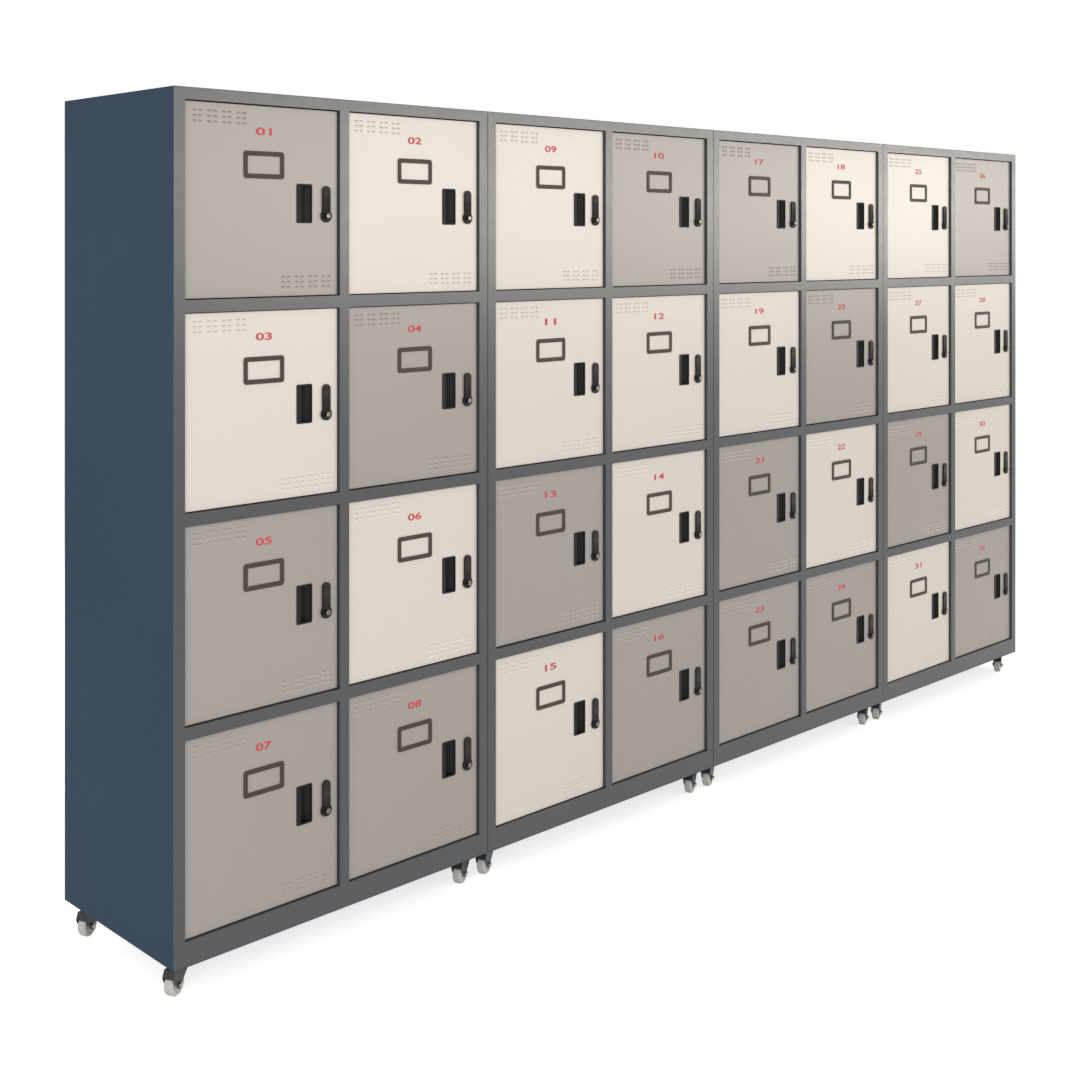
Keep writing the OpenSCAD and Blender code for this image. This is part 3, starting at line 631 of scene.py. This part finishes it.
def model_fork():
    """Pressed fork, softened, and the axle bolt with its nut, taken from the CAD fork."""
    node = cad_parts["caster_fork_front_right"]
    at = (cab_x(0) + CAB_W - CASTER_SIDE, FRONT_Y + CASTER_END, 0)
    deselect()
    whole = bpy.data.objects.new("fork", node.data.copy())
    whole.data.transform(Matrix.Rotation(-math.radians(WHEEL_HEADING), 4, "Z") @ moved(-at[0], -at[1], 0))
    scene.collection.objects.link(whole)
    edit(whole)
    bpy.ops.mesh.select_all(action="SELECT")
    bpy.ops.mesh.remove_doubles(threshold=0.00001)
    bpy.ops.mesh.dissolve_limited(angle_limit=math.radians(1))
    bpy.ops.mesh.select_all(action="SELECT")
    bpy.ops.mesh.separate(type="LOOSE")
    bpy.ops.object.mode_set(mode="OBJECT")
    parts = sorted(bpy.context.selected_objects, key=lambda o: -max(o.dimensions))
    for part in parts:
        soften(part, 0.35)
    bolts = join(parts[1:])
    return smooth(parts[0]), smooth(bolts)


# BUILDING THE BANK

frame_pattern = model_front_frame()
strip_pattern = model_stop_strip()
door_patterns = {
    "stiffener": model_stiffener(), "pivot_blocks": model_pivot_blocks(), "pull": model_pull(),
    "card_frame": model_card_frame(), "lock_body": model_lock_body(), "lock_ring": model_lock_ring(),
}
pan_pattern = model_pan()
plug_pattern, cam_pattern = model_plug(), model_cam()
tyre_pattern, hub_pattern = model_tyre(), model_hub()
fork_pattern, axle_pattern = model_fork()

DOOR_PARTS = {
    "stiffener": (moved(0, 0, 0), None), "pivot_blocks": (moved(0, 0, 0), None),
    "pull": (moved(PULL_X, 0, PULL_Z), black_plastic),
    "card_frame": (moved(DOOR_W / 2, 0, DOOR_H - CARD_DROP), card_plastic),
    "lock_body": (moved(PLUG_X, 0, PLUG_Z), lock_plastic),
    "lock_ring": (moved(PLUG_X, 0, PLUG_Z), black_plastic),
}


def put_number(n, place, body):
    """Plain two-digit door number, printed in red, as wide and high as the mark in the photograph."""
    deselect()
    bpy.ops.object.text_add()
    text = bpy.context.object
    text.name = "number_%02d" % n
    text.data.body = "%02d" % n
    text.data.extrude = 0.5
    text.data.offset = 0.025
    bpy.ops.object.convert(target="MESH")
    text = bpy.context.object
    edit(text)
    bpy.ops.mesh.select_all(action="SELECT")
    bpy.ops.mesh.remove_doubles(threshold=0.00001)
    bpy.ops.object.mode_set(mode="OBJECT")
    low = Vector([min(v.co[i] for v in text.data.vertices) for i in range(3)])
    high = Vector([max(v.co[i] for v in text.data.vertices) for i in range(3)])
    text.data.transform(Matrix.Translation(-(low + high) / 2))
    fit = (MARK_W * MM / (high.x - low.x), MARK_H * MM / (high.y - low.y), MARK_T * MM / (high.z - low.z), 1)
    text.data.transform(place @ Matrix.Rotation(math.pi / 2, 4, "X") @ Matrix.Diagonal(fit))
    text.data.materials.clear()
    text.data.materials.append(red_ink)
    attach(text, body)


for c in range(CABINETS):
    cabinet = moved(cab_x(c), FRONT_Y, CASTER_H)
    piece = put(frame_pattern, "front_frame_%d" % (c + 1), cabinet, frame_paint, "bank")
    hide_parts("front_frames")
    strips = []
    for k in range(2):
        for r in range(ROWS):
            strip = bpy.data.objects.new("stop_strips_%d" % (c + 1), strip_pattern.data.copy())
            strip.data.transform(cabinet @ moved(open_x(k) + OPEN_W - STOP_REACH, FRAME_D + 0.2, open_z(r)))
            scene.collection.objects.link(strip)
            strips.append(strip)
    strips = join(strips)
    strips.data.materials.append(frame_paint)
    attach(strips, "bank")

for n in range(1, 33):
    c, r, k = (n - 1) // 8, (n - 1) % 8 // 2, (n - 1) % 2
    light = DOOR_PATTERN[r][(2 * c + k) % 4] == "L"
    paint, slot = (cream_paint, "cream_paint") if light else (grey_paint, "grey_paint")
    seat = moved(cab_x(c) + open_x(k) + DOOR_GAP, FRONT_Y + DOOR_SETBACK, CASTER_H + open_z(r) + DOOR_GAP)
    node = body = "door_%02d" % n
    pan = put(pan_pattern, "pan_%02d" % n, seat, paint, body)
    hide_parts(node)
    for part, pattern in door_patterns.items():
        place, material = DOOR_PARTS[part]
        put(pattern, "%s_%02d" % (part, n), seat @ place, material or paint, body)
    lock_body = "lock_%02d" % n if c == 0 else body
    plug = put(plug_pattern, "plug_%02d" % n, seat @ moved(PLUG_X, 0, PLUG_Z), nickel, lock_body)
    put(cam_pattern, "cam_%02d" % n, seat @ moved(PLUG_X, 0, PLUG_Z), zinc, lock_body)
    if c == 0:
        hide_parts("lock_plug_%02d" % n)
    put_number(n, seat @ moved(DOOR_W / 2, -0.08, DOOR_H - MARK_DROP), body)

for c in range(CABINETS):
    for i, corner in enumerate(CORNERS):
        x = cab_x(c) + (CASTER_SIDE if i % 2 == 0 else CAB_W - CASTER_SIDE)
        y = FRONT_Y + (CASTER_END if i < 2 else CAB_D - CASTER_END)
        place = moved(x, y, 0) @ Matrix.Rotation(math.radians(WHEEL_HEADING), 4, "Z")
        name = "%d_%s" % (c + 1, corner)
        swivel, wheel = ("swivel_" + corner, "wheel_" + corner) if c == 0 else ("bank", "bank")
        fork = put(fork_pattern, "fork_" + name, place, fork_paint, swivel)
        put(axle_pattern, "axle_" + name, place, zinc, swivel)
        tyre = put(tyre_pattern, "tyre_" + name, place, grey_rubber, wheel)
        put(hub_pattern, "hub_" + name, place, hub_plastic, wheel)
        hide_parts("caster_fork_" + corner if c == 0 else "parked_forks")
        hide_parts("caster_wheel_" + corner if c == 0 else "parked_wheels")

for pattern in [frame_pattern, strip_pattern, pan_pattern, plug_pattern, cam_pattern, tyre_pattern, hub_pattern,
                fork_pattern, axle_pattern, *door_patterns.values()]:
    bpy.data.objects.remove(pattern)

# FINISH OF THE CAD NODES

NODE_FINISH = {
    "side_panels": case_paint, "back_panels": case_paint, "roof_panels": case_paint, "base_panels": case_paint,
    "centre_dividers": case_paint, "shelves": case_paint, "hinge_pins": black_oxide, "joining_bolts": zinc,
    "caster_plates": zinc,
}
for name, material in NODE_FINISH.items():
    for material_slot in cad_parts[name].material_slots:
        material_slot.material = material

# STAGE AND LIGHT

deselect()
bpy.ops.mesh.primitive_plane_add(size=60, location=(0, 0, 0))
floor = bpy.context.object
floor.name = "floor"
floor_finish = bpy.data.materials.new("floor_finish")
floor_finish.use_nodes = True
tree = floor_finish.node_tree
tree.nodes.clear()
output = add_node(tree, "ShaderNodeOutputMaterial")
matt = add_node(tree, "ShaderNodeBsdfDiffuse", {"Color": (0.8, 0.8, 0.8, 1)})
white = add_node(tree, "ShaderNodeEmission", {"Color": (1, 1, 1, 1), "Strength": 1.0})
place = add_node(tree, "ShaderNodeTexCoord").outputs["Object"]
away = add_node(tree, "ShaderNodeVectorMath", {0: place}, operation="LENGTH").outputs["Value"]
fade = add_node(tree, "ShaderNodeMapRange", {
    "Value": away, "From Min": 2.2, "From Max": 5.0, "To Min": 0.0, "To Max": 1.0}, interpolation_type="SMOOTHSTEP")
rays = add_node(tree, "ShaderNodeLightPath")
seen = add_node(tree, "ShaderNodeMath", {0: rays.outputs["Is Camera Ray"], 1: rays.outputs["Is Glossy Ray"]},
                operation="MAXIMUM").outputs[0]
seen = add_node(tree, "ShaderNodeMath", {0: seen, 1: rays.outputs["Is Transmission Ray"]},
                operation="MAXIMUM").outputs[0]
lift = add_node(tree, "ShaderNodeMath", {0: seen, 1: 0.72}, operation="MULTIPLY").outputs[0]
pale = add_node(tree, "ShaderNodeEmission", {"Color": (1, 1, 1, 1), "Strength": lift})
ground = add_node(tree, "ShaderNodeAddShader", {0: matt.outputs[0], 1: pale.outputs[0]})
mix = add_node(tree, "ShaderNodeMath", {0: seen, 1: fade.outputs["Result"]}, operation="MULTIPLY").outputs[0]
blend = add_node(tree, "ShaderNodeMixShader", {0: mix, 1: ground.outputs[0], 2: white.outputs[0]})
tree.links.new(blend.outputs[0], output.inputs["Surface"])
floor.data.materials.append(floor_finish)

world = bpy.data.worlds.new("studio")
scene.world = world
world.use_nodes = True
tree = world.node_tree
tree.nodes.clear()
output = add_node(tree, "ShaderNodeOutputWorld")
soft = add_node(tree, "ShaderNodeBackground", {"Color": (1, 1, 1, 1), "Strength": 0.53})
white = add_node(tree, "ShaderNodeBackground", {"Color": (1, 1, 1, 1), "Strength": 1.0})
rays = add_node(tree, "ShaderNodeLightPath")
seen = add_node(tree, "ShaderNodeMath", {0: rays.outputs["Is Camera Ray"], 1: rays.outputs["Is Glossy Ray"]},
                operation="MAXIMUM").outputs[0]
seen = add_node(tree, "ShaderNodeMath", {0: seen, 1: rays.outputs["Is Transmission Ray"]},
                operation="MAXIMUM").outputs[0]
blend = add_node(tree, "ShaderNodeMixShader", {0: seen, 1: soft.outputs[0], 2: white.outputs[0]})
tree.links.new(blend.outputs[0], output.inputs["Surface"])


def add_lamp(name, energy, colour, size, location, target):
    lamp = bpy.data.lights.new(name, "AREA")
    lamp.energy = energy
    lamp.color = colour
    lamp.shape = "RECTANGLE"
    lamp.size, lamp.size_y = size
    holder = bpy.data.objects.new(name, lamp)
    holder.location = location
    holder.rotation_euler = (Vector(target) - Vector(location)).to_track_quat("-Z", "Y").to_euler()
    scene.collection.objects.link(holder)


add_lamp("long_softbox", 1270, (1.0, 0.94, 0.84), (20, 2.4), (15, -12, 2.4), (15, 0, 2.4))
add_lamp("far_softbox", 165, (1.0, 0.96, 0.9), (7, 2.4), (22.5, -12, 2.4), (22.5, 0, 2.4))
add_lamp("left_light", 82, (1.0, 1.0, 1.0), (3, 2), (-5, -3.5, 2.5), (-1.6, 0, 1))
add_lamp("back_light", 190, (1.0, 1.0, 1.0), (6, 2.5), (0.5, 6, 2.6), (0, 0.24, 1))

bpy.context.view_layer.update()
